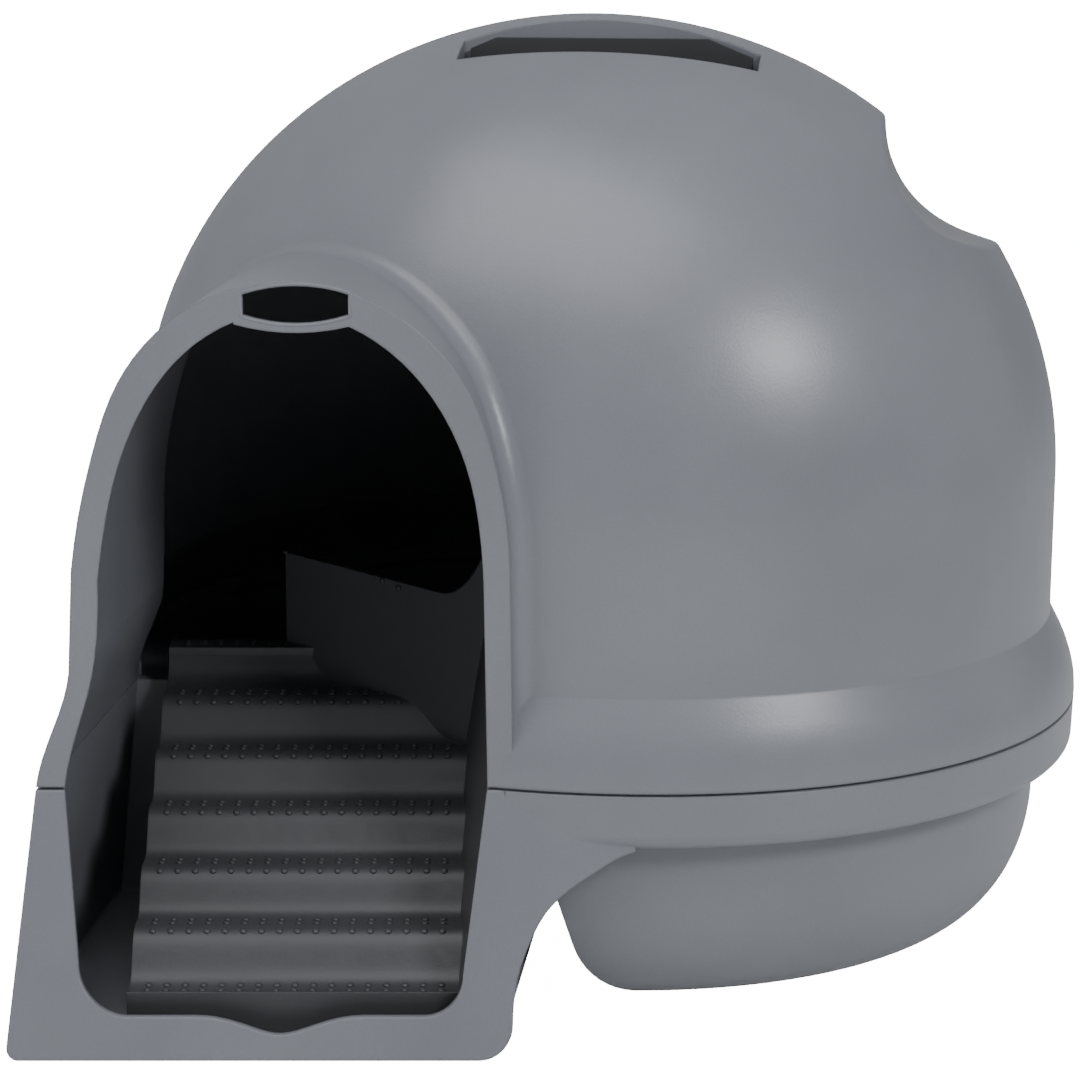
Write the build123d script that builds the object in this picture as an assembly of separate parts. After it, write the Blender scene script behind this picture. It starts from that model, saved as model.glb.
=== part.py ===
from build123d import *
from math import atan2, cos, degrees, radians, sin, tan
import os

# All sizes are in millimetres. The origin is on the floor under the dome's middle. The entry faces -Y.

# Plan of the box: an oval, longer from front right to back left
oval_short = 236.0
oval_long = 1.127 * oval_short
oval_turn = -32.0
oval_middle = -2.0

# Levels
box_height = 497.0
dome_spring = 0.505 * box_height
split_level = 0.2586 * box_height
flare_top = split_level + 45.5
band_bottom = split_level - 30.5
seam_gap = 0.3
lid_skirt_depth = 20.0

# Overhangs outside the oval
flare_out = 13.5
band_rounding = 8.0
shadow_line = 1.2
bowl_inset = 6.0
bowl_corner_width = 46.0
bowl_corner_height = 75.0
stair_wall_draft = 18.0
stair_wall_corner = 55.0

# Wall thicknesses
lid_wall = 3.0
base_wall = 3.5
step_wall = 3.0

# Entry hood and skirt
entry_middle = -0.655 * oval_short
entry_front = -(oval_short + 11.0)
skirt_foot_front = entry_front - 42.0
hood_half_width = 0.458 * oval_short
hood_spring = dome_spring - 11.0
hood_rise = 0.29 * box_height
hood_shoulder = 0.795
arch_skew = 0.04
hood_face = 4.0
hood_back = -45.0
hood_lean = 22.0
hood_blend = 10.0
entry_left = entry_middle - hood_half_width - 21.5
entry_right = entry_middle + hood_half_width + 1.5
foot_left = entry_left - 13.5
foot_left_corner = 6.0
foot_right_corner = 17.0
doorway_half_width = hood_half_width - 13.0
doorway_spring = hood_spring - 5.0
doorway_rise = hood_rise - 10.2
doorway_shoulder = 0.77
doorway_left_foot = entry_left + 14.5
doorway_right_foot = entry_right - 13.0
doorway_left_corner = 25.5
doorway_right_corner = 19.5
doorway_corner_in = 8.0
lip_height = 20.5
lip_dip = 12.0
lip_dip_middle = entry_middle - 6.5
lip_dip_half_width = 42.0

# Finger slot in the hood's face
finger_middle = (entry_middle + 5.0, hood_spring + hood_rise - 11.8)
finger_length = 51.0
finger_end_height = 10.0
finger_bulge = 4.2
finger_rim = 4.5

# Step insert: wavy ramp with a guard wall
ledge_height = split_level + 19.5
ledge_thickness = 3.0
ridge_count = 7
first_ridge_front = skirt_foot_front + 20.7
first_ridge_height = 28.2
last_ridge_front = entry_front + 183.3
last_ridge_height = ledge_height + 3.2
ridge_run = (last_ridge_front - first_ridge_front) / (ridge_count - 1)
ridge_rise = (last_ridge_height - first_ridge_height) / (ridge_count - 1)
ridge_depth = 9.0
ramp_left = entry_left + 45.0
ramp_right = entry_right - 26.0
guard_far = (entry_middle - 19.5, entry_front + 195.0)
guard_corner_front = guard_far[1] - 66.0
guard_draft = 3.5
guard_side_slope = 0.162
guard_side_limit = entry_right - 5.5
guard_front_gap = 7.5
guard_height = 55.0
guard_dip = 10.0
step_clearance = 1.5

# Crown slot and filter
slot_middle = (5.5, -56.0)
slot_turn = -7.0
slot_length = 161.0
slot_end_width = 30.0
slot_bulge = 14.0
pocket_bottom = box_height - 69.0
pocket_ledge = 5.0
filter_clearance = 1.5
tray_height = 22.0
tray_wall = 2.0
pad_thickness = 14.0
cover_thickness = 2.5
grip_top = box_height - 10.5
grip_offset = 11.0
grip_thickness = 3.0
vent_width = 4.0
vent_pitch = 12.0

# Rounded notch across the dome's right shoulder
notch_radius = 62.7
notch_middle = (0.947 * oval_short, -8.0, box_height - 61.0)
notch_direction = (0.127, 1.0, -0.076)
notch_rounding = 5.0

big = 900.0


def oval(shape):
    """Stretch a round shape to the box's oval plan and turn it."""
    stretched = scale(shape, by=(oval_long / oval_short, 1, 1))
    return Pos(oval_middle, 0, 0) * (Rot(0, 0, oval_turn) * stretched)


def turned_solid(lines):
    """Revolve a closed outline drawn in the XZ plane about the vertical axis."""
    return revolve(make_face(lines), Axis.Z, 360)


def dome_solid(inset):
    """The dome filled in, with its skin moved inwards by the inset."""
    bottom = split_level - lid_skirt_depth
    radius = oval_short - inset
    top = box_height - inset
    foot = radius + flare_out
    crown = EllipticalCenterArc((0, dome_spring), radius, top - dome_spring, start_angle=0, arc_size=89.5)
    flat = Line(crown @ 1, (0, (crown @ 1).Y))
    wall = Line((radius, flare_top), (radius, dome_spring))
    flare = Spline((foot, split_level), (radius, flare_top), tangents=[(0, 1), (-0.42, 0.9)])
    foot_line = Line((foot, bottom), (foot, split_level))
    floor_line = Line((0, bottom), (foot, bottom))
    axis_line = Line((0, bottom), flat @ 1)
    outline = Plane.XZ * (Curve() + [floor_line, foot_line, flare, wall, crown, flat, axis_line])
    return oval(turned_solid(outline))


def run_back(face, front, back):
    """Push an upright outline back, leaning with the entry's left side behind the entry's face."""
    lean = hood_lean / (hood_back - entry_front)
    direction = Vector(lean, 1, 0) * (back - entry_front)
    placed = Pos(0, entry_front, 0) * face
    leaning = extrude(placed, amount=direction.length, dir=direction.normalized())
    if front < entry_front:
        return leaning + through_face(face, front, entry_front - front)
    if front > entry_front:
        return leaning - through_face(Plane.XZ * Rectangle(big, 2 * big), entry_front, front - entry_front)
    return leaning


def arch_line(middle, spring, half, rise, shoulder):
    """A pointed-round arch from its right foot over the top to its left foot, slimmer on the left."""
    side = [(1.0, 0.0), (0.972, 0.24), (0.932, 0.385), (shoulder, 0.655), (shoulder - 0.3, 0.885)]
    points = [(middle + half * across, spring + rise * up) for across, up in side]
    points.append((middle, spring + rise))
    for across, up in reversed(side):
        slimmer = arch_skew * sin(radians(180.0 * up))
        points.append((middle - half * (across - slimmer), spring + rise * up))
    return Spline(*points)


def hood_outline(inset):
    """Outline of the entry hood seen from the front, moved inwards by the inset."""
    bottom = split_level - lid_skirt_depth
    half = hood_half_width - inset
    left = entry_middle - half
    right = entry_middle + half
    right_foot = entry_right - inset
    left_foot = entry_left + inset
    knee = (flare_top + hood_spring) / 2 - 19.0
    arch = arch_line(entry_middle, hood_spring, half, hood_rise - inset, hood_shoulder)
    left_leg = Line((left, hood_spring), (left - 3.0, knee))
    left_flare = Spline(
        (left - 3.0, knee), (left_foot, split_level), tangents=[(-0.15, -1), (-0.15, -1)]
    )
    left_drop = Line((left_foot, split_level), (left_foot, bottom))
    floor_line = Line((left_foot, bottom), (right_foot, bottom))
    right_leg = Line((right_foot, bottom), (right, hood_spring))
    outline = Curve() + [arch, left_leg, left_flare, left_drop, floor_line, right_leg]
    return Plane.XZ * make_face(outline)


def barrel(length, end_width, bulge):
    """A slot shape with straight ends and bowed long sides, centred on the origin."""
    half = length / 2
    end = end_width / 2
    outline = Curve() + [
        Line((-half, -end), (-half, end)),
        ThreePointArc((-half, end), (0, end + bulge), (half, end)),
        Line((half, end), (half, -end)),
        ThreePointArc((half, -end), (0, -end - bulge), (-half, -end)),
    ]
    return make_face(outline)


def upright_block(low_x, high_x, low_y, high_y, low_z, high_z):
    """A plain block between opposite corners."""
    size = Box(high_x - low_x, high_y - low_y, high_z - low_z)
    return Pos((low_x + high_x) / 2, (low_y + high_y) / 2, (low_z + high_z) / 2) * size


def risen(face, low, high):
    """Extrude a flat plan outline between two heights."""
    return Pos(0, 0, low) * extrude(face, amount=high - low, dir=(0, 0, 1))


def guard_side(depth):
    """How far right the guard's outside reaches at ledge height, at a distance from the dome's axis."""
    ramp_level = first_ridge_height + (depth - first_ridge_front) * ridge_rise / ridge_run
    return ramp_right + step_wall + guard_side_slope * (ledge_height - ramp_level)


def step_plan(gap, widening=0.0):
    """Plan of the step insert's corner at ledge height, open to the front and left."""
    corner_side = guard_side(guard_corner_front)
    diagonal_slope = (guard_corner_front - guard_far[1]) / (corner_side - guard_far[0])
    corner = make_face(
        Polyline(
            (-big, -big),
            (-big, guard_far[1]),
            guard_far,
            (corner_side + widening, guard_corner_front + diagonal_slope * widening),
            (guard_side(-big) + widening, -big),
            close=True,
        )
    )
    if gap == 0:
        return corner
    return offset(corner, amount=gap, kind=Kind.INTERSECTION)


def lid_filled(inset, front):
    """Dome and entry hood together as one filled shape, drawn on below the split."""
    hood = run_back(hood_outline(inset), front, hood_back)
    along = Plane(origin=notch_middle, z_dir=notch_direction)
    return (dome_solid(inset) + hood) - along * Cylinder(notch_radius + inset, big)


def doorway_outline(bottom):
    """Outline of the way in through the hood's face."""
    left = entry_middle - doorway_half_width
    right = entry_middle + doorway_half_width
    arch = arch_line(
        entry_middle, doorway_spring, doorway_half_width, doorway_rise, doorway_shoulder
    )
    left_leg = Spline(
        (left, doorway_spring),
        (left - 5.0, (flare_top + hood_spring) / 2 - 23.0),
        (doorway_left_foot, split_level),
        tangents=[(0, -1), (-0.15, -1)],
    )
    left_drop = Line((doorway_left_foot, split_level), (doorway_left_foot, bottom))
    floor_line = Line((doorway_left_foot, bottom), (doorway_right_foot, bottom))
    right_drop = Line((doorway_right_foot, bottom), (doorway_right_foot, split_level))
    right_leg = Line((doorway_right_foot, split_level), (right, doorway_spring))
    outline = Curve() + [arch, left_leg, left_drop, floor_line, right_drop, right_leg]
    return Plane.XZ * make_face(outline)


def through_face(face, front, depth):
    """Push an upright outline straight back from a front distance."""
    return Pos(0, front, 0) * extrude(face, amount=depth, dir=(0, 1, 0))


def finger_outline(growth):
    """The bowed finger slot, or its rim when grown."""
    shape = barrel(finger_length + 2 * growth, finger_end_height + 2 * growth, finger_bulge)
    return Plane.XZ * (Pos(finger_middle[0], finger_middle[1]) * shape)


def crown_plan(growth):
    """Plan of the crown slot, grown or shrunk all round."""
    shape = barrel(slot_length + 2 * growth, slot_end_width + 2 * growth, slot_bulge)
    return Pos(slot_middle[0], slot_middle[1]) * (Rot(0, 0, slot_turn) * shape)


def blended_outside():
    """The lid's outside with a soft hollow blend where the hood meets the dome."""
    shape = lid_filled(0, entry_front)
    meeting = [edge for edge in shape.edges() if is_hood_meeting(edge)]
    shape = fillet(meeting, hood_blend)
    notch_edges = [edge for edge in shape.edges() if is_notch_edge(edge)]
    return fillet(notch_edges, notch_rounding)


def is_hood_meeting(edge):
    """Whether an edge lies where the hood's outside runs into the dome's skin."""
    middle = edge.position_at(0.5)
    high_enough = middle.Z > (flare_top + hood_spring) / 2 - 13.0
    inside_entry = middle.X < entry_right + 15.0
    upright = abs(edge.tangent_at(0.5).Y) < 0.95
    return high_enough and inside_entry and upright and entry_front + 3.0 < middle.Y < hood_back + 60.0


def is_notch_edge(edge):
    """Whether an edge is where the notch runs out through the dome's skin."""
    along = Vector(*notch_direction).normalized()
    offsets = []
    for part_way in (0.2, 0.5, 0.8):
        arm = edge.position_at(part_way) - Vector(*notch_middle)
        offsets.append(abs((arm - along * arm.dot(along)).length - notch_radius))
    return max(offsets) < 0.1


def make_lid():
    """Dome lid with its hood, finger slot, crown pocket and scoop."""
    bottom = split_level + seam_gap
    outside = blended_outside()
    inside = lid_filled(lid_wall, entry_front + hood_face)
    shell = outside - inside
    rim = through_face(finger_outline(finger_rim), entry_front, hood_face)
    way_in = doorway_outline(bottom - 2 * lid_skirt_depth)
    doorway = through_face(way_in, entry_front - 10.0, 10.0 + hood_face)
    shell = shell - (doorway - rim)
    shell = shell - through_face(finger_outline(0), entry_front - 10.0, 20.0)
    pocket = risen(crown_plan(lid_wall), pocket_bottom, box_height + 10.0)
    shell = shell + (pocket & dome_solid(0))
    shell = shell - risen(crown_plan(0), pocket_bottom + lid_wall, box_height + 10.0)
    shell = shell - risen(crown_plan(-pocket_ledge), pocket_bottom - 10.0, box_height)
    return shell - upright_block(-big, big, -big, big, 0, bottom)


def bowl_solid(inset, bottom, top):
    """The litter bowl filled in, with its skin moved inwards by the inset."""
    radius = oval_short - bowl_inset - inset
    corner_width = bowl_corner_width - inset
    corner_height = bowl_corner_height - inset
    floor_edge = (radius - corner_width, bottom)
    corner_middle = (radius - corner_width, bottom + corner_height)
    wall_foot = (radius, bottom + corner_height)
    below = bottom - corner_height
    outline = Curve() + [
        EllipticalCenterArc(corner_middle, corner_width, corner_height, start_angle=270, arc_size=90),
        Polyline(wall_foot, (radius, top), (0, top), (0, below), (radius - corner_width, below), floor_edge),
    ]
    filled = oval(turned_solid(Plane.XZ * outline))
    return filled & upright_block(-big, big, -big, big, bottom, 2 * big)


def rim_ring():
    """Rim flange with the band hanging from it and the upstand that locates the lid."""
    inner = oval_short - bowl_inset - base_wall
    outer = oval_short + flare_out
    upstand = outer - lid_wall - 1.0
    under = split_level - base_wall
    drawn_in = 0.7
    corner = (outer - drawn_in, band_bottom + band_rounding)
    foot = (corner[0] - band_rounding, band_bottom)
    inner_corner = (corner[0] - base_wall, corner[1])
    inner_foot = (foot[0], band_bottom + base_wall)
    outline = Curve() + [
        Polyline((outer, split_level), corner),
        RadiusArc(corner, foot, band_rounding),
        Line(foot, inner_foot),
        RadiusArc(inner_foot, inner_corner, base_wall - band_rounding),
        Polyline(
            inner_corner,
            (outer - base_wall, under),
            (inner, under),
            (inner, split_level),
            (upstand - 2.5, split_level),
            (upstand - 2.5, split_level + 8.0),
            (upstand, split_level + 8.0),
            (upstand, split_level),
            (outer, split_level),
        ),
    ]
    ring = oval(turned_solid(Plane.XZ * outline))
    upstand_right = entry_right + 15.0
    upstand_front = -40.0
    above = split_level + 20.0
    return ring - upright_block(-big / 2, upstand_right, -big / 2, upstand_front, split_level, above)


def skirt_outline(inset):
    """Outline of the entry skirt seen from the front, drawn on above the split."""
    top = split_level + lid_skirt_depth
    outline = Polyline(
        (entry_left + inset, top),
        (entry_left + inset, split_level),
        (foot_left + inset, inset),
        (entry_right - inset, inset),
        (entry_right - inset, top),
        close=True,
    )
    face = make_face(outline)
    left_corner, right_corner = face.vertices().sort_by(Axis.Y)[0:2].sort_by(Axis.X)
    face = fillet(right_corner, foot_right_corner - inset)
    left_corner = face.vertices().sort_by(Axis.Y)[0:2].sort_by(Axis.X)[0]
    return Plane.XZ * fillet(left_corner, foot_left_corner - inset)


def behind_front(inset, back):
    """Everything behind the leaning front of the skirt, drawn on above the split."""
    top = box_height
    slope = (skirt_foot_front - entry_front) / split_level
    outline = Polyline(
        (skirt_foot_front + inset + slope * 10.0, -10.0),
        (skirt_foot_front + inset - slope * split_level, split_level),
        (skirt_foot_front + inset - slope * split_level, top),
        (back, top),
        (back, -10.0),
        close=True,
    )
    return Pos(-big / 2, 0, 0) * extrude(Plane.YZ * make_face(outline), amount=big, dir=(1, 0, 0))


def skirt_doorway():
    """Outline of the way in through the skirt, with the dipped lip."""
    dip_left = lip_dip_middle - lip_dip_half_width
    dip_right = lip_dip_middle + lip_dip_half_width
    top = split_level + 20.0
    left_corner = (doorway_left_foot + doorway_corner_in, lip_height + doorway_left_corner)
    left_floor = (left_corner[0] + doorway_left_corner - 1.0, lip_height)
    right_corner = (doorway_right_foot - 1.5 * doorway_corner_in, lip_height + doorway_right_corner)
    right_floor = (right_corner[0] - doorway_right_corner + 0.5, lip_height)
    outline = Curve() + [
        Line((doorway_left_foot, top), (doorway_left_foot, split_level)),
        Line((doorway_left_foot, split_level), left_corner),
        RadiusArc(left_corner, left_floor, -doorway_left_corner),
        Line(left_floor, (dip_left, lip_height)),
        Spline(
            (dip_left, lip_height),
            (lip_dip_middle, lip_dip),
            (dip_right, lip_height),
            tangents=[(1, 0), (1, 0)],
        ),
        Line((dip_right, lip_height), right_floor),
        RadiusArc(right_floor, right_corner, -doorway_right_corner),
        Line(right_corner, (doorway_right_foot, split_level)),
        Line((doorway_right_foot, split_level), (doorway_right_foot, top)),
        Line((doorway_right_foot, top), (doorway_left_foot, top)),
    ]
    return Plane.XZ * make_face(outline)


def gusset():
    """Curved web that carries the rim band down into the right edge of the skirt."""
    height = band_bottom - foot_right_corner
    reach = 61.0
    corner = (entry_right + reach, band_bottom)
    foot = (entry_right, foot_right_corner)
    edge = Spline(
        corner,
        (entry_right + 0.64 * reach, band_bottom - 0.134 * height),
        (entry_right + 0.284 * reach, band_bottom - 0.341 * height),
        (entry_right + 0.103 * reach, band_bottom - 0.585 * height),
        foot,
        tangents=[(-1, -0.25), (-0.02, -1)],
    )
    inside = entry_right - 3.0
    rest = Polyline(
        foot, (inside, foot_right_corner), (inside, split_level), (entry_right + reach, split_level), corner
    )
    web = through_face(Plane.XZ * make_face(Curve() + [edge, rest]), entry_front - 80.0, 140.0)
    skin = behind_front(0, -100.0) - behind_front(base_wall, -90.0)
    return web & skin


def stair_side_wall(gap, floor):
    """Section of the stairwell side of the pan's wall: sloping, then curving out to the floor."""
    slope = radians(stair_wall_draft)
    corner = stair_wall_corner - floor
    tangent_height = floor + corner - corner * sin(slope)
    tangent_out = gap + (ledge_height - tangent_height) * tan(slope)
    floor_out = tangent_out + corner * cos(slope)
    top = 2 * ledge_height
    top_out = gap - ledge_height * tan(slope)
    middle_turn = (radians(90.0) - slope) / 2
    arc_middle = (
        floor_out - corner * cos(slope + middle_turn),
        floor + corner - corner * sin(slope + middle_turn),
    )
    outline = Curve() + [
        Line((-big, top), (top_out, top)),
        Line((top_out, top), (tangent_out, tangent_height)),
        ThreePointArc((tangent_out, tangent_height), arc_middle, (floor_out, floor)),
        Line((floor_out, floor), (floor_out, -20.0)),
        Line((floor_out, -20.0), (-big, -20.0)),
        Line((-big, -20.0), (-big, top)),
    ]
    section = Plane.XZ * make_face(outline)
    return Pos(0, -big, 0) * extrude(section, amount=2 * big, dir=(0, 1, 0))


def stair_side(gap, floor):
    """Everything on the stairwell's side of the pan's three-sided dividing wall."""
    wall = stair_side_wall(gap, floor)
    corner_side = guard_side(guard_corner_front)
    run_x = corner_side - guard_far[0]
    run_y = guard_far[1] - guard_corner_front
    diagonal = degrees(atan2(run_y, run_x))
    plan_slope = degrees(atan2(guard_side(-big) - corner_side, big + guard_corner_front))
    right = Pos(corner_side, guard_corner_front, 0) * (Rot(0, 0, plan_slope) * wall)
    slanted = Pos(*guard_far, 0) * (Rot(0, 0, 90.0 - diagonal) * wall)
    back = Pos(0, guard_far[1], 0) * (Rot(0, 0, 90.0) * wall)
    return right & slanted & back


def make_base():
    """Base with the litter bowl, rim, entry skirt, stairwell floor and dividing wall."""
    stair_back = guard_far[1] + step_clearance
    above = upright_block(-big, big, -big, big, split_level, box_height)
    outside = bowl_solid(0, 0, ledge_height) - stair_side(step_clearance, 0)
    hollow = bowl_solid(base_wall, base_wall, ledge_height + 10.0)
    hollow = hollow - stair_side(step_clearance + base_wall, base_wall)
    bowl = outside - hollow
    bowl = bowl - (above - bowl_solid(base_wall, base_wall, 500.0))
    skirt = run_back(skirt_outline(0), skirt_foot_front - 40.0, stair_back + base_wall)
    skirt = skirt & behind_front(0, stair_back + base_wall)
    room = run_back(skirt_outline(base_wall), skirt_foot_front - 40.0, stair_back)
    room = room & behind_front(base_wall, stair_back)
    skirt = skirt - room - hollow
    way_in = through_face(skirt_doorway(), skirt_foot_front - 40.0, entry_front - skirt_foot_front + 48.0)
    skirt = skirt - way_in
    rim = rim_ring() - risen(step_plan(step_clearance), -10.0, box_height)
    shape = bowl + rim + (skirt - above) + gusset()
    line_zone = upright_block(-big, big, -big, big, split_level - shadow_line, split_level)
    return shape - (line_zone - lid_filled(2.0, entry_front + 2.0))


def ridge_line(drop):
    """The ramp's wavy line seen from the side, through each crest and hollow."""
    points = []
    for number in range(ridge_count):
        crest_y = first_ridge_front + number * ridge_run
        crest_z = first_ridge_height + number * ridge_rise
        points.append((crest_y, crest_z - drop))
        if number < ridge_count - 1:
            hollow_y = crest_y + ridge_run / 2
            hollow_z = crest_z + ridge_rise / 2 - ridge_depth
            points.append((hollow_y, hollow_z - drop))
    return Spline(*points)


def insert_body(inset):
    """The step insert's corner filled in, leaning outwards towards the top."""
    spread = ledge_height * tan(radians(guard_draft))
    plan = step_plan(-spread - inset, 2 * step_wall + spread)
    wide = extrude(plan, amount=2 * ledge_height, dir=(0, 0, 1), taper=-guard_draft)
    outward = Vector(1, guard_side_slope * ridge_rise / ridge_run, -guard_side_slope)
    foot = Vector(ramp_right + step_wall, first_ridge_front, first_ridge_height)
    side = Plane(origin=foot - outward.normalized() * inset, z_dir=outward)
    beyond = side * Pos(0, 0, big / 2) * Box(2 * big, 2 * big, big)
    return wide - beyond - upright_block(guard_side_limit - inset, big, -big, big, -big, big)


def guard_top():
    """Everything above the guard wall's top edge, which dips towards the stairwell's corner."""
    far_level = ledge_height + guard_height
    low_point = (entry_right - 41.0, far_level - guard_dip)
    rise_start = (entry_right - 27.0, far_level - guard_dip + 7.0)
    high_point = (entry_right - 15.0, far_level + 19.0)
    outline = Curve() + [
        Line((guard_far[0] - 2.0, far_level), low_point),
        Spline(low_point, rise_start, high_point, tangents=[(1, -0.06), (0.4, 1)]),
        Polyline(
            high_point,
            (0, high_point[1]),
            (0, big),
            (-big, big),
            (-big, far_level),
            (guard_far[0] - 2.0, far_level),
        ),
    ]
    return through_face(Plane.XZ * make_face(outline), -big, 2 * big)


def make_step_insert():
    """Ramp of rounded ridges with the guard wall that keeps litter off it."""
    thickness = step_wall * 1.5
    top_line = ridge_line(0)
    under_line = ridge_line(thickness)
    front_end = Line(under_line @ 0, top_line @ 0)
    back_end = Line(under_line @ 1, top_line @ 1)
    section = make_face(Curve() + [top_line, under_line, front_end, back_end])
    body = insert_body(0)
    sheet = Pos(ramp_left, 0, 0) * extrude(Plane.YZ * section, amount=big, dir=(1, 0, 0))
    foot_back = first_ridge_front + step_wall
    foot_top = first_ridge_height - 1.0
    foot = upright_block(ramp_left, ramp_right, first_ridge_front, foot_back, base_wall, foot_top)
    landing = upright_block(
        ramp_left, 0, last_ridge_front - 1.0, 0, last_ridge_height - thickness, last_ridge_height
    )
    back = guard_far[1] + 40.0
    rear_level = last_ridge_height - thickness
    around = Polyline(
        under_line @ 0,
        (first_ridge_front, box_height),
        (back, box_height),
        (back, rear_level),
        under_line @ 1,
    )
    above_ramp = make_face(Curve() + [under_line, around])
    walls = body - insert_body(step_wall)
    walls = walls & upright_block(guard_far[0], 0, -big, 0, 0, box_height)
    walls = walls & behind_front(base_wall + guard_front_gap, 0)
    walls = walls & (Pos(-big, 0, 0) * extrude(Plane.YZ * above_ramp, amount=2 * big, dir=(1, 0, 0)))
    walls = walls - guard_top()
    ledge = step_plan(step_clearance + base_wall) - step_plan(-1.0)
    ledge = risen(ledge, ledge_height, ledge_height + ledge_thickness)
    ledge = ledge & upright_block(ramp_left, 0, entry_front + 32.0, 0, 0, box_height)
    return ((sheet + landing) & body) + foot + walls + ledge


def make_filter_tray():
    """Open tray with a slotted floor that stands on the ledge of the crown pocket."""
    floor = pocket_bottom + lid_wall
    outside = risen(crown_plan(-filter_clearance), floor, floor + tray_height)
    inside = risen(crown_plan(-filter_clearance - tray_wall), floor + tray_wall, floor + tray_height + 5.0)
    return outside - inside - vent_slots(floor - 5.0, floor + tray_wall + 1.0, 0)


def vent_slots(low, high, middle_gap):
    """A row of slots across the filter's width."""
    slots = []
    count = int(slot_length / 2 / vent_pitch) - 1
    for number in range(-count, count + 1):
        reach = slot_end_width - 8.0
        place = Pos(slot_middle[0], slot_middle[1]) * (Rot(0, 0, slot_turn) * Pos(number * vent_pitch, 0))
        if middle_gap == 0:
            slots.append(risen(place * Rectangle(vent_width, reach), low, high))
        else:
            near = place * Pos(0, middle_gap) * Rectangle(vent_width, reach / 2)
            slots.append(risen(near, low, high))
    return slots


def make_filter_pad():
    """Charcoal pad that fills the tray."""
    floor = pocket_bottom + lid_wall + tray_wall
    return risen(crown_plan(-filter_clearance - tray_wall - 0.5), floor, floor + pad_thickness)


def make_filter_cover():
    """Slotted cover with an upright grip that closes the tray."""
    low = pocket_bottom + lid_wall + tray_height
    high = low + cover_thickness
    plate = risen(crown_plan(-filter_clearance), low, high)
    plate = plate - vent_slots(low - 1.0, high + 1.0, -8.0)
    half = slot_length / 2 - 4.0
    outline = Polyline(
        (-half, low),
        (half, low),
        (half, grip_top - 10.0),
        (half - 24.0, grip_top),
        (-half + 14.0, grip_top),
        (-half, grip_top - 6.0),
        close=True,
    )
    grip = extrude(Plane.XZ * make_face(outline), amount=grip_thickness, dir=(0, 1, 0))
    grip = Pos(0, grip_offset - grip_thickness / 2, 0) * grip
    return plate + (Pos(slot_middle[0], slot_middle[1], 0) * (Rot(0, 0, slot_turn) * grip))


def save(shape, name):
    """Write one node's solid."""
    solids = shape.solids()
    print(name, len(solids), "solids", round(sum(solid.volume for solid in solids) / 1000.0), "cm3")
    export_step(Compound(children=list(solids)) if len(solids) > 1 else solids[0], "parts/" + name + ".step")


def main():
    """Build every piece."""
    os.makedirs("parts", exist_ok=True)
    save(make_filter_tray(), "filter_tray")
    save(make_filter_pad(), "filter_pad")
    save(make_filter_cover(), "filter_cover")
    save(make_step_insert(), "step_insert")
    save(make_base(), "base")
    save(make_lid(), "lid")


main()
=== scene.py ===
import math
import random

import bmesh
import bpy
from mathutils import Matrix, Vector
from mathutils.bvhtree import BVHTree


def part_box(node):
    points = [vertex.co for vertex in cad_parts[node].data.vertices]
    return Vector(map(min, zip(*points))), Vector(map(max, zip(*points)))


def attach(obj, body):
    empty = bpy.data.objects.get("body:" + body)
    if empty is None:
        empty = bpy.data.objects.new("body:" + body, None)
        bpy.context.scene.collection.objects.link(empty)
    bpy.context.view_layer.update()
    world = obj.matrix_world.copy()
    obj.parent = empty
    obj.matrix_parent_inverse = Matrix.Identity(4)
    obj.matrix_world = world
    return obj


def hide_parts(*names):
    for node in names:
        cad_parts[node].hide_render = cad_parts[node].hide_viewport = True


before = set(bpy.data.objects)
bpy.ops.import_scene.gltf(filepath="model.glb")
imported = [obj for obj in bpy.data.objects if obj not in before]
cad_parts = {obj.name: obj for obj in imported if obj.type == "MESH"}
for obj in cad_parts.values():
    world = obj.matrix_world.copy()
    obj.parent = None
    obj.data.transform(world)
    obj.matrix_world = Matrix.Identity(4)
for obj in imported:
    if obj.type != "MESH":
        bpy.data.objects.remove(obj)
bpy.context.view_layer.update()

# Covered litter box: its finishes, grip bumps, finger-slot bead and felt pad, and the studio.
# Lengths are in metres unless a name says mm, and angles are in radians.

MM = 0.001

# Camera: where the photograph was taken from
camera_distance = 1.700
camera_pitch = 0.2319
camera_target_x = -0.0317
camera_target_height = 0.1977
camera_lens_mm = 98.27
camera_sensor_mm = 36.0
camera_reach = 50.0

# Grip bumps on the ramp's rounded noses
first_nose_y = -0.2683
nose_run = 0.0341
nose_count = 7
bump_columns = 17
bump_first_x = -0.2294
bump_last_x = -0.0814
bump_radius = 0.0019
bump_height = 0.0012
bump_rows = (-0.0015, 0.0068, 0.0125)
bump_sunk = 0.0003
bump_sides = 12
bump_levels = 4
look_down_from = 1.0
look_ahead = 0.001
drop_allowed = 0.004

# Bead round the finger slot in the hood
slot_rim_middle_x = -0.1496
slot_rim_middle_height = 0.3723
slot_rim_front = -0.2462
slot_rim_length = 0.053
slot_rim_end_height = 0.0115
slot_rim_bulge = 0.0043
slot_rim_radius = 0.0011
slot_rim_steps = 16
slot_rim_sides = 10

# Felt pad: an even mesh whose faces sink towards the ends and ripple, with softened edges
pad_weld = 0.00001
pad_flat_angle = 0.02
pad_voxel = 0.002
pad_end_sink = 0.12
pad_ripple = 0.05
pad_seed = 7
pad_wave_count = 6
pad_wave_low = 20
pad_wave_high = 90
pad_wave_shift = 6.28
pad_soft_factor = 0.6
pad_soft_rounds = 6

# Patterns of the finishes, from feature to feature
flow_cloud_mm = 140
grain_drawn_mm = 0.9
pebble_mm = 1.3
scuff_mm = 4
fibre_mm = 1.2
needle_punch_mm = 2.5
paper_tooth_mm = 3

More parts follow.
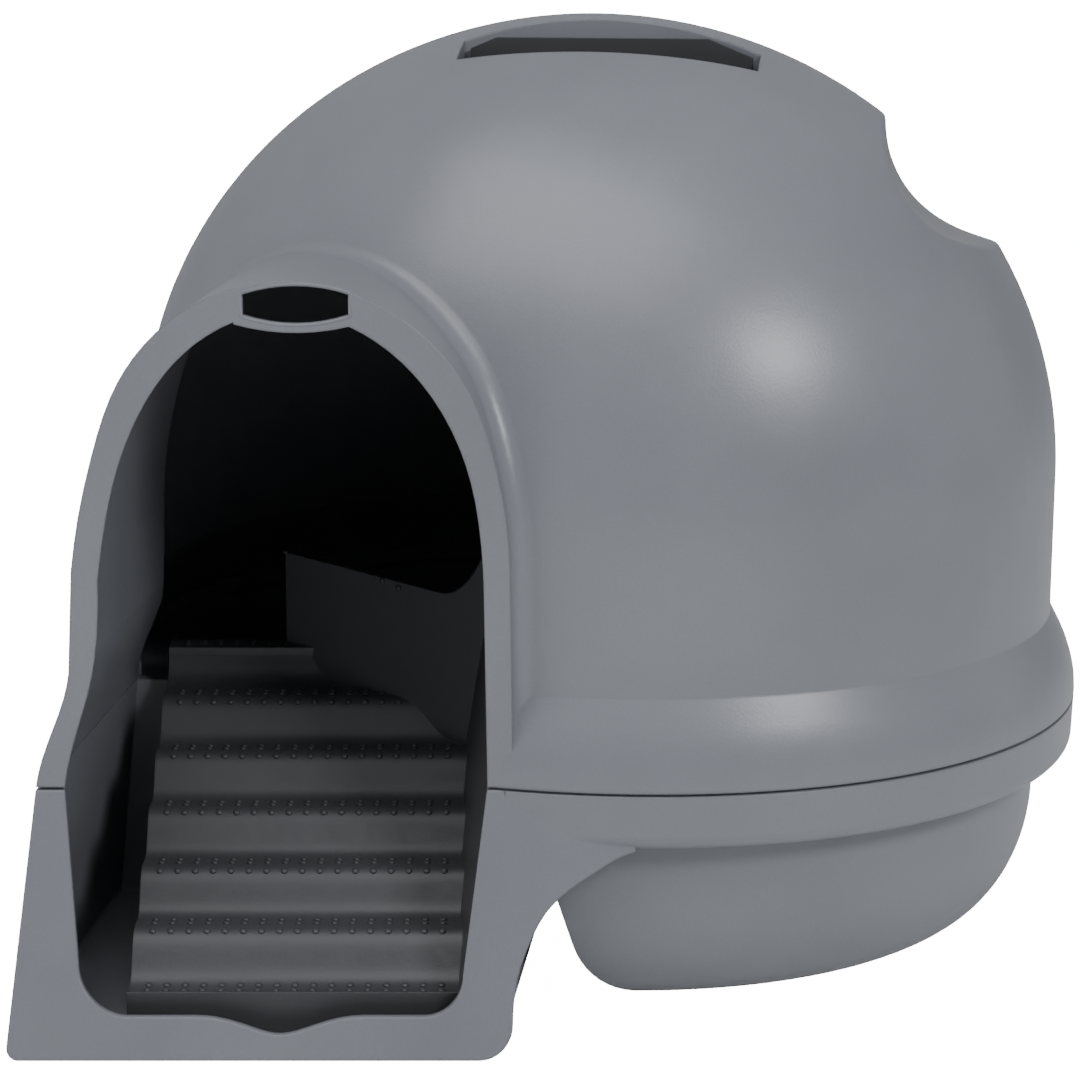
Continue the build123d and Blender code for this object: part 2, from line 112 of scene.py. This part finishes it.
# The colour sockets of a mix node, which has sockets of the same name for other kinds of value
mix_first = 6
mix_second = 7
mix_result = 2

# Surroundings: how bright the camera sees them, and how much light they give the object
surround_seen = 16.0
surround_light = 0.20
surround_colour = (0.93, 0.96, 1.0, 1.0)
floor_seen = 16.0

# Studio floor
floor_half_width = 8.0
floor_front = -6.0
floor_back = 3.5
floor_curve = 1.5
floor_curve_steps = 12
floor_top = 6.0

# Soft boxes: name, place, the point they face, width, height, watts
soft_box_colour = (0.95, 0.97, 1.0)
soft_boxes = (
    ("key_soft_box", (1.44, -1.90, 1.74), (0.05, -0.1, 0.28), 0.75, 0.6, 38.0),
    ("top_soft_box", (-0.6, -0.9, 2.5), (-0.1, -0.1, 0.2), 2.4, 1.6, 50.0),
    ("left_soft_box", (-2.4, -0.9, 0.7), (-0.1, -0.1, 0.2), 1.4, 1.2, 15.0),
    ("right_soft_box", (2.4, 0.5, 0.7), (0.2, 0.0, 0.2), 1.2, 1.2, 2.0),
)


def linear(hex_colour):
    """An sRGB hex colour as linear red, green, blue and alpha."""
    channels = []
    for start in (0, 2, 4):
        value = int(hex_colour[start:start + 2], 16) / 255.0
        if value <= 0.04045:
            channels.append(value / 12.92)
        else:
            channels.append(((value + 0.055) / 1.055) ** 2.4)
    return (*channels, 1.0)


def grey(value):
    """A neutral colour from one linear value."""
    return (value, value, value, 1.0)


def per_mm(size_mm):
    """The texture scale whose features come out about this many millimetres across."""
    return 1.0 / (size_mm * MM)


def add(tree, kind, settings=None, inputs=None):
    """Add a node with its settings, and its inputs given as values or as sockets to link."""
    node = tree.nodes.new(kind)
    for name, value in (settings or {}).items():
        setattr(node, name, value)
    for name, value in (inputs or {}).items():
        if isinstance(value, bpy.types.NodeSocket):
            tree.links.new(value, node.inputs[name])
        else:
            node.inputs[name].default_value = value
    return node


def colour_between(tree, factor, stops):
    """A colour that runs through (place, colour) stops as the factor grows."""
    node = add(tree, "ShaderNodeValToRGB", {}, {"Fac": factor})
    points = node.color_ramp.elements
    while len(points) < len(stops):
        points.new(0.5)
    for point, (place, colour) in zip(points, stops):
        point.position = place
        point.color = colour
    return node.outputs["Color"]


def new_material(name):
    """An empty node material and its tree."""
    material = bpy.data.materials.new(name)
    material.use_nodes = True
    material.node_tree.nodes.clear()
    return material, material.node_tree


def close_material(tree, colour, roughness, normal, shader_values):
    """Join colour, roughness and normal to the surface shader, and give that shader back."""
    inputs = {"Base Color": colour, "Roughness": roughness, "Normal": normal}
    inputs.update(shader_values)
    shader = add(tree, "ShaderNodeBsdfPrincipled", {}, inputs)
    add(tree, "ShaderNodeOutputMaterial", {}, {"Surface": shader.outputs["BSDF"]})
    return shader


def moulded_polypropylene(name, dark_hex, light_hex, rough_low, rough_high, grain_depth_mm, edge_round_mm):
    """Injection-moulded polypropylene: satin, with a fine spark-eroded grain and rounded edges.

    The grain is 0.4 mm in life and is drawn at 0.9 mm so that it shows. Broad clouds stand for the
    slight change of shade where the melt flowed, and short scuffs for handling.
    """
    material, tree = new_material(name)
    place = add(tree, "ShaderNodeTexCoord").outputs["Object"]
    clouds = add(
        tree,
        "ShaderNodeTexNoise",
        {},
        {"Vector": place, "Scale": per_mm(flow_cloud_mm), "Detail": 3.0, "Roughness": 0.5},
    ).outputs["Fac"]
    grain = add(
        tree,
        "ShaderNodeTexNoise",
        {},
        {"Vector": place, "Scale": per_mm(grain_drawn_mm), "Detail": 2.0, "Roughness": 0.6},
    ).outputs["Fac"]
    pebbles = add(
        tree,
        "ShaderNodeTexVoronoi",
        {"feature": "SMOOTH_F1"},
        {"Vector": place, "Scale": per_mm(pebble_mm)},
    ).outputs["Distance"]
    stretched = add(
        tree,
        "ShaderNodeMapping",
        {},
        {"Vector": place, "Rotation": (0.3, 0.5, 0.2), "Scale": (1.0, 0.12, 1.0)},
    ).outputs["Vector"]
    scuffs = add(
        tree,
        "ShaderNodeTexNoise",
        {},
        {"Vector": stretched, "Scale": per_mm(scuff_mm), "Detail": 4.0, "Roughness": 0.7},
    ).outputs["Fac"]
    shade = colour_between(tree, clouds, [(0.3, linear(dark_hex)), (0.7, linear(light_hex))])
    speckle = colour_between(tree, grain, [(0.3, grey(0.93)), (0.7, grey(1.0))])
    colour = add(
        tree,
        "ShaderNodeMix",
        {"data_type": "RGBA", "blend_type": "MULTIPLY"},
        {"Factor": 1.0, mix_first: shade, mix_second: speckle},
    ).outputs[mix_result]
    rough_base = add(
        tree,
        "ShaderNodeMapRange",
        {},
        {"Value": clouds, "From Min": 0.3, "From Max": 0.7, "To Min": rough_low, "To Max": rough_high},
    ).outputs["Result"]
    scuff_amount = add(
        tree,
        "ShaderNodeMapRange",
        {},
        {"Value": scuffs, "From Min": 0.62, "From Max": 0.8, "To Min": 0.0, "To Max": 0.08},
    ).outputs["Result"]
    roughness = add(
        tree, "ShaderNodeMath", {"operation": "ADD"}, {0: rough_base, 1: scuff_amount}
    ).outputs["Value"]
    edges = add(tree, "ShaderNodeBevel", {"samples": 4}, {"Radius": edge_round_mm * MM}).outputs["Normal"]
    coarse = add(
        tree,
        "ShaderNodeBump",
        {},
        {"Height": pebbles, "Strength": 0.5, "Distance": grain_depth_mm * MM, "Normal": edges},
    ).outputs["Normal"]
    fine = add(
        tree,
        "ShaderNodeBump",
        {},
        {"Height": grain, "Strength": 0.5, "Distance": grain_depth_mm * MM, "Normal": coarse},
    ).outputs["Normal"]
    close_material(tree, colour, roughness, fine, {"IOR": 1.49, "Specular IOR Level": 0.5})
    return material


def charcoal_felt(name):
    """Needle-punched felt filled with charcoal: matt, near black, with a tangle of short fibres."""
    material, tree = new_material(name)
    place = add(tree, "ShaderNodeTexCoord").outputs["Object"]
    tangle = add(
        tree,
        "ShaderNodeTexNoise",
        {},
        {
            "Vector": place,
            "Scale": per_mm(fibre_mm),
            "Detail": 6.0,
            "Roughness": 0.75,
            "Distortion": 1.5,
        },
    ).outputs["Fac"]
    punches = add(
        tree, "ShaderNodeTexVoronoi", {}, {"Vector": place, "Scale": per_mm(needle_punch_mm)}
    ).outputs["Distance"]
    colour = colour_between(tree, tangle, [(0.35, linear("0E0E10")), (0.65, linear("2A2A2D"))])
    roughness = add(
        tree,
        "ShaderNodeMapRange",
        {},
        {"Value": tangle, "From Min": 0.3, "From Max": 0.7, "To Min": 0.85, "To Max": 0.98},
    ).outputs["Result"]
    hollows = add(
        tree, "ShaderNodeBump", {}, {"Height": punches, "Strength": 0.6, "Distance": 0.4 * MM}
    ).outputs["Normal"]
    fibres = add(
        tree,
        "ShaderNodeBump",
        {},
        {"Height": tangle, "Strength": 0.8, "Distance": 0.3 * MM, "Normal": hollows},
    ).outputs["Normal"]
    close_material(tree, colour, roughness, fibres, {"Sheen Weight": 0.25, "Sheen Roughness": 0.6})
    return material


def studio_paper(name):
    """Plain pale floor: seamless paper with a faint tooth, which the camera sees as clean white."""
    material, tree = new_material(name)
    place = add(tree, "ShaderNodeTexCoord").outputs["Object"]
    tooth = add(
        tree,
        "ShaderNodeTexNoise",
        {},
        {"Vector": place, "Scale": per_mm(paper_tooth_mm), "Detail": 3.0},
    ).outputs["Fac"]
    colour = colour_between(tree, tooth, [(0.0, linear("F4F4F4")), (1.0, linear("FBFBFB"))])
    roughness = add(
        tree, "ShaderNodeMapRange", {}, {"Value": tooth, "To Min": 0.85, "To Max": 0.95}
    ).outputs["Result"]
    normal = add(
        tree, "ShaderNodeBump", {}, {"Height": tooth, "Strength": 0.1, "Distance": 0.1 * MM}
    ).outputs["Normal"]
    shader = close_material(tree, colour, roughness, normal, {"Emission Color": grey(1.0)})
    seen = add(tree, "ShaderNodeLightPath").outputs["Is Camera Ray"]
    glow = add(tree, "ShaderNodeMapRange", {}, {"Value": seen, "To Min": 0.0, "To Max": floor_seen})
    tree.links.new(glow.outputs["Result"], shader.inputs["Emission Strength"])
    return material


def assign(objects, material):
    """Give objects one material and no other."""
    for item in objects:
        item.data.materials.clear()
        item.data.materials.append(material)


def shade_smooth(data):
    """Shade every face of a mesh smoothly."""
    for polygon in data.polygons:
        polygon.use_smooth = True


def mesh_object(name, shape):
    """A smoothly shaded object from a bmesh."""
    data = bpy.data.meshes.new(name)
    shape.to_mesh(data)
    shape.free()
    shade_smooth(data)
    item = bpy.data.objects.new(name, data)
    bpy.context.scene.collection.objects.link(item)
    return item


def surface_finder(node_name):
    """A function that finds the top surface of a CAD node under a point."""
    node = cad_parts[node_name]
    corners = [vertex.co[:] for vertex in node.data.vertices]
    tree = BVHTree.FromPolygons(corners, [polygon.vertices[:] for polygon in node.data.polygons])

    def find(x, y):
        place, normal, _, _ = tree.ray_cast(Vector((x, y, look_down_from)), Vector((0.0, 0.0, -1.0)))
        return place, normal

    return find


def add_bump(shape, place, normal, radius, height):
    """A round grip bump: a low dome of rings that stands on the surface."""
    turn = Vector((0, 0, 1)).rotation_difference(normal).to_matrix()
    rings = []
    for level in range(bump_levels):
        angle = 0.5 * math.pi * level / bump_levels
        ring = []
        for side in range(bump_sides):
            around = 2 * math.pi * side / bump_sides
            local = Vector(
                (
                    radius * math.cos(angle) * math.cos(around),
                    radius * math.cos(angle) * math.sin(around),
                    height * math.sin(angle),
                )
            )
            if level == 0:
                local.z = -bump_sunk
            ring.append(shape.verts.new(place + turn @ local))
        rings.append(ring)
    top = shape.verts.new(place + turn @ Vector((0, 0, height)))
    for low, high in zip(rings, rings[1:]):
        for side in range(bump_sides):
            after = (side + 1) % bump_sides
            shape.faces.new((low[side], low[after], high[after], high[side]))
    for side in range(bump_sides):
        shape.faces.new((rings[-1][side], rings[-1][(side + 1) % bump_sides], top))
    shape.faces.new(list(reversed(rings[0])))


def grip_bumps():
    """Rows of moulded grip bumps along each nose of the ramp, left out where the ramp ends."""
    find = surface_finder("step_insert")
    shape = bmesh.new()
    for nose in range(nose_count):
        for offset in bump_rows:
            y = first_nose_y + nose * nose_run + offset
            for column in range(bump_columns):
                x = bump_first_x + (bump_last_x - bump_first_x) * column / (bump_columns - 1)
                place, normal = find(x, y)
                ahead, _ = find(x, y + look_ahead)
                if place is None or ahead is None or abs(ahead.z - place.z) > drop_allowed:
                    continue
                add_bump(shape, place, normal, bump_radius, bump_height)
    return mesh_object("ramp_grip_bumps", shape)


def slot_rim():
    """Rolled bead moulded round the finger slot, at the front of the hood."""
    half = slot_rim_length / 2
    end = slot_rim_end_height / 2
    corners = []
    for side in (1, -1):
        for step in range(slot_rim_steps + 1):
            across = side * half * (1.0 - 2.0 * step / slot_rim_steps)
            bow = slot_rim_bulge * (1.0 - (across / half) ** 2)
            height = slot_rim_middle_height + side * (end + bow)
            corners.append(Vector((slot_rim_middle_x + across, slot_rim_front, height)))
    shape = bmesh.new()
    rings = []
    for number, corner in enumerate(corners):
        along = (corners[(number + 1) % len(corners)] - corners[number - 1]).normalized()
        outward = along.cross(Vector((0, 1, 0)))
        ring = []
        for side in range(slot_rim_sides):
            angle = 2 * math.pi * side / slot_rim_sides
            arm = outward * math.cos(angle) + Vector((0, 1, 0)) * math.sin(angle)
            ring.append(shape.verts.new(corner + arm * slot_rim_radius))
        rings.append(ring)
    for number, ring in enumerate(rings):
        after = rings[(number + 1) % len(rings)]
        for side in range(slot_rim_sides):
            beside = (side + 1) % slot_rim_sides
            shape.faces.new((ring[side], after[side], after[beside], ring[beside]))
    bmesh.ops.recalc_face_normals(shape, faces=shape.faces)
    return mesh_object("finger_slot_rim", shape)


def even_mesh(item):
    """Remesh an object to small even faces, and give the new mesh back."""
    remesh = item.modifiers.new("even_mesh", "REMESH")
    remesh.mode = "VOXEL"
    remesh.voxel_size = pad_voxel
    depsgraph = bpy.context.evaluated_depsgraph_get()
    even = bpy.data.meshes.new_from_object(item.evaluated_get(depsgraph))
    item.modifiers.clear()
    item.data = even
    return even


def filter_pad():
    """Soft charcoal pad: slightly crowned faces that ripple, and the soft edges of cut felt."""
    low, high = (Vector(corner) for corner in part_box("filter_pad"))
    shape = bmesh.new()
    shape.from_mesh(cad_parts["filter_pad"].data)
    bmesh.ops.remove_doubles(shape, verts=shape.verts, dist=pad_weld)
    bmesh.ops.dissolve_limit(shape, angle_limit=pad_flat_angle, verts=shape.verts, edges=shape.edges)
    item = mesh_object("filter_pad_felt", shape)
    even = even_mesh(item)
    shade_smooth(even)
    middle = (low + high) / 2
    half = (high - low) / 2
    source = random.Random(pad_seed)
    waves = []
    for _ in range(pad_wave_count):
        across_wave = source.uniform(pad_wave_low, pad_wave_high)
        along_wave = source.uniform(pad_wave_low, pad_wave_high)
        waves.append((across_wave, along_wave, source.uniform(0, pad_wave_shift)))
    for vertex in even.vertices:
        place = vertex.co
        across = (place.x - middle.x) / half.x
        up = (place.z - middle.z) / half.z
        heights = [math.sin(place.x * wide + place.y * deep + shift) for wide, deep, shift in waves]
        ripple = sum(heights) / len(waves)
        crown = 1.0 - pad_end_sink * abs(across) ** 3 - pad_ripple * (1.0 + ripple)
        vertex.co.z = middle.z + up * half.z * crown
    smooth = item.modifiers.new("soft_edges", "SMOOTH")
    smooth.factor = pad_soft_factor
    smooth.iterations = pad_soft_rounds
    return item


def studio_floor():
    """A sheet of seamless paper that runs back from under the object and curves up."""
    shape = bmesh.new()
    profile = [(floor_front, 0.0), (floor_back, 0.0)]
    for step in range(1, floor_curve_steps + 1):
        angle = 0.5 * math.pi * step / floor_curve_steps
        back = floor_back + floor_curve * math.sin(angle)
        profile.append((back, floor_curve - floor_curve * math.cos(angle)))
    profile.append((floor_back + floor_curve, floor_top))
    rows = []
    for y, z in profile:
        rows.append([shape.verts.new((side * floor_half_width, y, z)) for side in (-1, 1)])
    for low, high in zip(rows, rows[1:]):
        shape.faces.new((low[0], low[1], high[1], high[0]))
    return mesh_object("studio_floor", shape)


def area_light(name, place, target, width, height, power):
    """A soft box that points at a target."""
    data = bpy.data.lights.new(name, "AREA")
    data.shape = "RECTANGLE"
    data.size = width
    data.size_y = height
    data.energy = power
    data.color = soft_box_colour
    item = bpy.data.objects.new(name, data)
    item.location = place
    item.rotation_euler = (Vector(target) - Vector(place)).to_track_quat("-Z", "Y").to_euler()
    bpy.context.scene.collection.objects.link(item)


def pale_surround():
    """The space round the set: clean white to the camera, and a weak cool light on the object."""
    world = bpy.data.worlds.new("pale_surround")
    world.use_nodes = True
    tree = world.node_tree
    background = tree.nodes["Background"]
    background.inputs["Color"].default_value = surround_colour
    seen = add(tree, "ShaderNodeLightPath").outputs["Is Camera Ray"]
    strength = add(
        tree,
        "ShaderNodeMapRange",
        {},
        {"Value": seen, "To Min": surround_light, "To Max": surround_seen},
    ).outputs["Result"]
    tree.links.new(strength, background.inputs["Strength"])
    bpy.context.scene.world = world


def photo_camera():
    """The camera, level from side to side and pitched down at the target."""
    data = bpy.data.cameras.new("photo_camera")
    data.lens = camera_lens_mm
    data.sensor_width = camera_sensor_mm
    data.clip_end = camera_reach
    camera = bpy.data.objects.new("photo_camera", data)
    camera.location = (
        camera_target_x,
        -camera_distance * math.cos(camera_pitch),
        camera_target_height + camera_distance * math.sin(camera_pitch),
    )
    camera.rotation_euler = (math.pi / 2 - camera_pitch, 0.0, 0.0)
    bpy.context.scene.collection.objects.link(camera)
    bpy.context.scene.camera = camera


# The object's finishes, with painted shade in the step insert's colour, and the nodes that carry them
body_plastic = moulded_polypropylene(
    "satin_grey_polypropylene",
    dark_hex="727378",
    light_hex="7A7C81",
    rough_low=0.31,
    rough_high=0.36,
    grain_depth_mm=0.06,
    edge_round_mm=2.0,
)
# The step insert is a darker copy of the body's grey plastic: its darker colour is painted shade for the
# deep shade inside the doorway
step_plastic_painted_shade = moulded_polypropylene(
    "step_painted_shade_polypropylene",
    dark_hex="393A3C",
    light_hex="414244",
    rough_low=0.44,
    rough_high=0.52,
    grain_depth_mm=0.06,
    edge_round_mm=1.0,
)
filter_plastic = moulded_polypropylene(
    "black_polypropylene",
    dark_hex="323335",
    light_hex="3B3C3E",
    rough_low=0.38,
    rough_high=0.46,
    grain_depth_mm=0.05,
    edge_round_mm=0.6,
)
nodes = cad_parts
assign([nodes["base"], nodes["lid"]], body_plastic)
assign([nodes["step_insert"]], step_plastic_painted_shade)
assign([nodes["filter_tray"], nodes["filter_cover"]], filter_plastic)

# Grip bumps are part of the step insert, and carry its painted shade
bumps = grip_bumps()
assign([bumps], step_plastic_painted_shade)
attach(bumps, "step_insert")

# The bead is part of the lid
rim = slot_rim()
assign([rim], body_plastic)
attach(rim, "lid")

# The pad stands for its CAD solid and lies in the tray
pad = filter_pad()
assign([pad], charcoal_felt("charcoal_felt"))
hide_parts("filter_pad")
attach(pad, "filter_tray")

# The studio
paper = studio_floor()
assign([paper], studio_paper("seamless_paper"))
for soft_box in soft_boxes:
    area_light(*soft_box)
pale_surround()
photo_camera()
